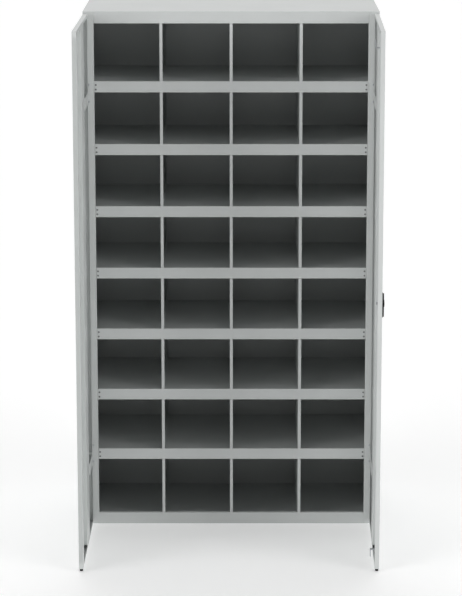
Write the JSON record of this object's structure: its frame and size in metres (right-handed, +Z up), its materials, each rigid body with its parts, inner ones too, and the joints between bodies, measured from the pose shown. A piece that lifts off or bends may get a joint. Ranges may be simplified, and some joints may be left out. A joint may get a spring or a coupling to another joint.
{
  "type": "parcel locker",
  "caption": "Tall open pigeonhole cabinet for mail and parcels, in grey painted sheet steel, behind two hinged doors with a turning handle and rod lock.",
  "frame": {"origin": "centre of the cabinet's underside, on the floor", "axes": "+Z up, +X to the right as seen from the front, the open front and its doors face -Y"},
  "size_m": [1.0023, 0.9981, 1.8],
  "materials": {
    "cabinet_paint": "light grey powder coat, fine orange peel, satin",
    "door_paint": "light grey powder coat, fine orange peel, satin",
    "zinc_steel": "bright zinc plated steel",
    "rivet_steel": "dull grey blind rivet",
    "handle_plastic": "black moulded, fine texture",
    "cylinder_nickel": "turned and nickel plated",
    "glide_rubber": "black moulded rubber"
  },
  "bodies": {
    "cabinet": {"back_panel": "cabinet_paint", "base_panel": "cabinet_paint", "divider_1_1": "cabinet_paint", "divider_1_2": "cabinet_paint", "divider_1_3": "cabinet_paint", "divider_2_1": "cabinet_paint", "divider_2_2": "cabinet_paint", "divider_2_3": "cabinet_paint", "divider_3_1": "cabinet_paint", "divider_3_2": "cabinet_paint", "divider_3_3": "cabinet_paint", "divider_4_1": "cabinet_paint", "divider_4_2": "cabinet_paint", "divider_4_3": "cabinet_paint", "divider_5_1": "cabinet_paint", "divider_5_2": "cabinet_paint", "divider_5_3": "cabinet_paint", "divider_6_1": "cabinet_paint", "divider_6_2": "cabinet_paint", "divider_6_3": "cabinet_paint", "divider_7_1": "cabinet_paint", "divider_7_2": "cabinet_paint", "divider_7_3": "cabinet_paint", "divider_8_1": "cabinet_paint", "divider_8_2": "cabinet_paint", "divider_8_3": "cabinet_paint", "hinge_screws": "zinc_steel", "left_frame_hinges": "cabinet_paint", "left_side_panel": "cabinet_paint", "right_frame_hinges": "cabinet_paint", "right_side_panel": "cabinet_paint", "shelf_1": "cabinet_paint", "shelf_2": "cabinet_paint", "shelf_3": "cabinet_paint", "shelf_4": "cabinet_paint", "shelf_5": "cabinet_paint", "shelf_6": "cabinet_paint", "shelf_7": "cabinet_paint", "shelf_brackets": "cabinet_paint", "shelf_rivets": "rivet_steel", "top_panel": "cabinet_paint"},
    "left_door": {"left_door_panel": "door_paint", "left_door_stiffener": "door_paint", "left_door_glide": "glide_rubber", "left_hinge_straps": "door_paint", "left_hinge_pins": "zinc_steel", "overlap_strip": "door_paint"},
    "right_door": {"right_door_panel": "door_paint", "right_door_stiffener": "door_paint", "right_door_glide": "glide_rubber", "right_hinge_straps": "door_paint", "right_hinge_pins": "zinc_steel", "rod_guides": "door_paint", "handle_base": "handle_plastic"},
    "handle": {"handle_lever": "handle_plastic", "locking_cam": "zinc_steel", "cam_screw": "zinc_steel"},
    "key_plug": {"key_cylinder": "cylinder_nickel"},
    "upper_rod": {"upper_rod": "zinc_steel"},
    "lower_rod": {"lower_rod": "zinc_steel"}
  },
  "joints": [
    {"name": "left_door_hinge", "type": "hinge", "parent": "cabinet", "child": "left_door", "pos_m": [-0.4905, -0.2535, 0.875], "axis": [0, 0, -1], "range_deg": [-90.5, 19.5]},
    {"name": "right_door_hinge", "type": "hinge", "parent": "cabinet", "child": "right_door", "pos_m": [0.4905, -0.2535, 0.875], "axis": [0, 0, 1], "range_deg": [-89, 21]},
    {"name": "handle_turn", "type": "hinge", "parent": "right_door", "child": "handle", "pos_m": [0.49032, -0.69356, 0.9], "axis": [0.9998, -0.0175, 0], "range_deg": [0, 90]},
    {"name": "key_turn", "type": "hinge", "parent": "handle", "child": "key_plug", "pos_m": [0.49032, -0.69356, 0.9], "axis": [0.9998, -0.0175, 0], "range_deg": [0, 90]},
    {"name": "upper_rod_slide", "type": "slide", "parent": "right_door", "child": "upper_rod", "axis": [0, 0, 1], "range_m": [0, 0.02263]},
    {"name": "lower_rod_slide", "type": "slide", "parent": "right_door", "child": "lower_rod", "axis": [0, 0, -1], "range_m": [0, 0.02263]}
  ],
  "couplings": [
    {"joint": "handle_turn", "follows": "upper_rod_slide", "rad_per_m": 69.42},
    {"joint": "lower_rod_slide", "follows": "upper_rod_slide", "ratio": 1}
  ]
}
